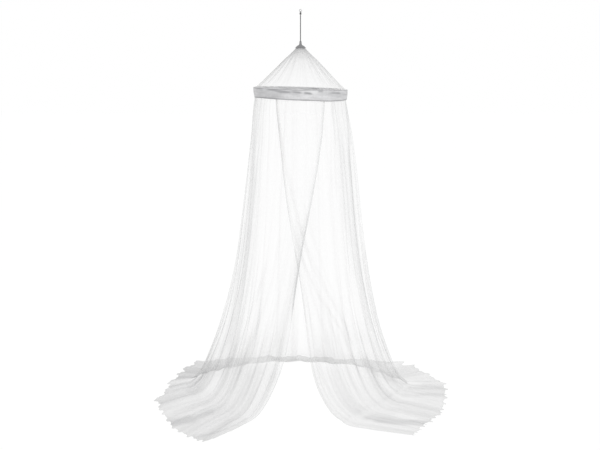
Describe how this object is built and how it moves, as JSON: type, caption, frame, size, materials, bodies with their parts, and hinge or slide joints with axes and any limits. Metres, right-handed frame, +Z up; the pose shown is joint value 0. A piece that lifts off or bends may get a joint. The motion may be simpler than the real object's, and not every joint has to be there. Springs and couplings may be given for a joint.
{
  "type": "mosquito net canopy and hoop",
  "caption": "Sheer hanging net canopy: a round hoop in a grey band, a cone of net above it, and below it a long curtain of net, lapped and parted in front, that trails on the floor.",
  "frame": {"origin": "the underside of the top of the hanging ring, where a ceiling hook carries it; the floor is at z = -2.62 m", "axes": "+Z up along the cord, -Y towards the front, where the curtain's flaps lap and part, and +X to the right of someone who faces the front from outside"},
  "size_m": [2.0446, 1.4169, 2.623],
  "materials": {
    "net_white": "sheer white net",
    "satin_grey": "grey satin strip",
    "rod_white": "white coated rod",
    "cap_grey": "dark grey gathered cloth",
    "cord_grey": "dark grey twisted cord",
    "steel": "plain steel wire"
  },
  "bodies": {
    "root": {"net_curtain": "net_white", "net_crown": "net_white", "band": "satin_grey", "hoop": "rod_white", "cap": "cap_grey", "hanging_cord": "cord_grey", "cord_knot": "cord_grey", "hanging_ring": "steel"}
  },
  "joints": []
}
